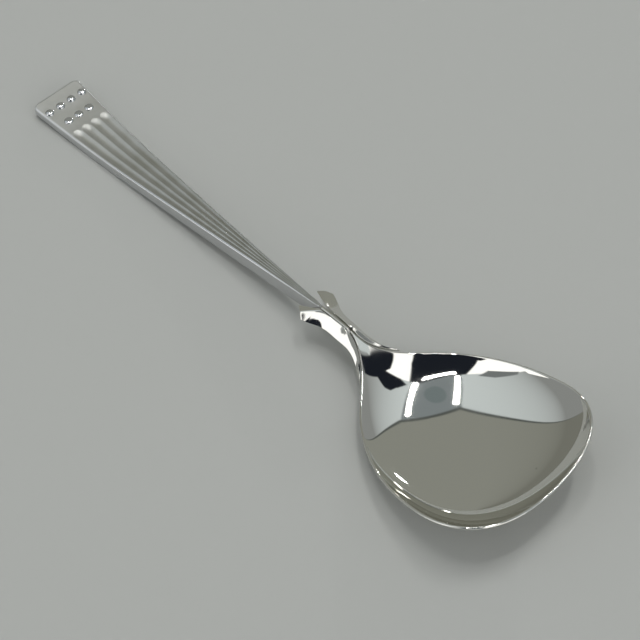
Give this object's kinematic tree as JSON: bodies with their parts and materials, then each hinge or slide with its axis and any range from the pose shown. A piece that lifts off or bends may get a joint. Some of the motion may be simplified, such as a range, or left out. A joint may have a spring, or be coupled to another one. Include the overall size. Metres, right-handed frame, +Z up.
{
  "type": "jam spoon",
  "caption": "Silver-plated jam spoon: wide shovel-shaped bowl with a mirror finish, horned neck, and a tapered fluted handle with beads near its square end.",
  "frame": {"origin": "middle of the small flat under the bowl, which lies on the table", "axes": "+X from the handle to the bowl's tip, +Y to the left seen from the handle, +Z up out of the bowl"},
  "size_m": [0.1502, 0.0412, 0.0128],
  "materials": {
    "handle_silver": "satin silver plate with a little warm tarnish in the flutes",
    "neck_silver": "bright polished silver plate",
    "bowl_silver": "mirror polished silver plate with fine scratches"
  },
  "bodies": {
    "root": {"handle": "handle_silver", "neck_collar": "neck_silver", "left_horn": "neck_silver", "right_horn": "neck_silver", "bowl": "bowl_silver"}
  },
  "joints": []
}
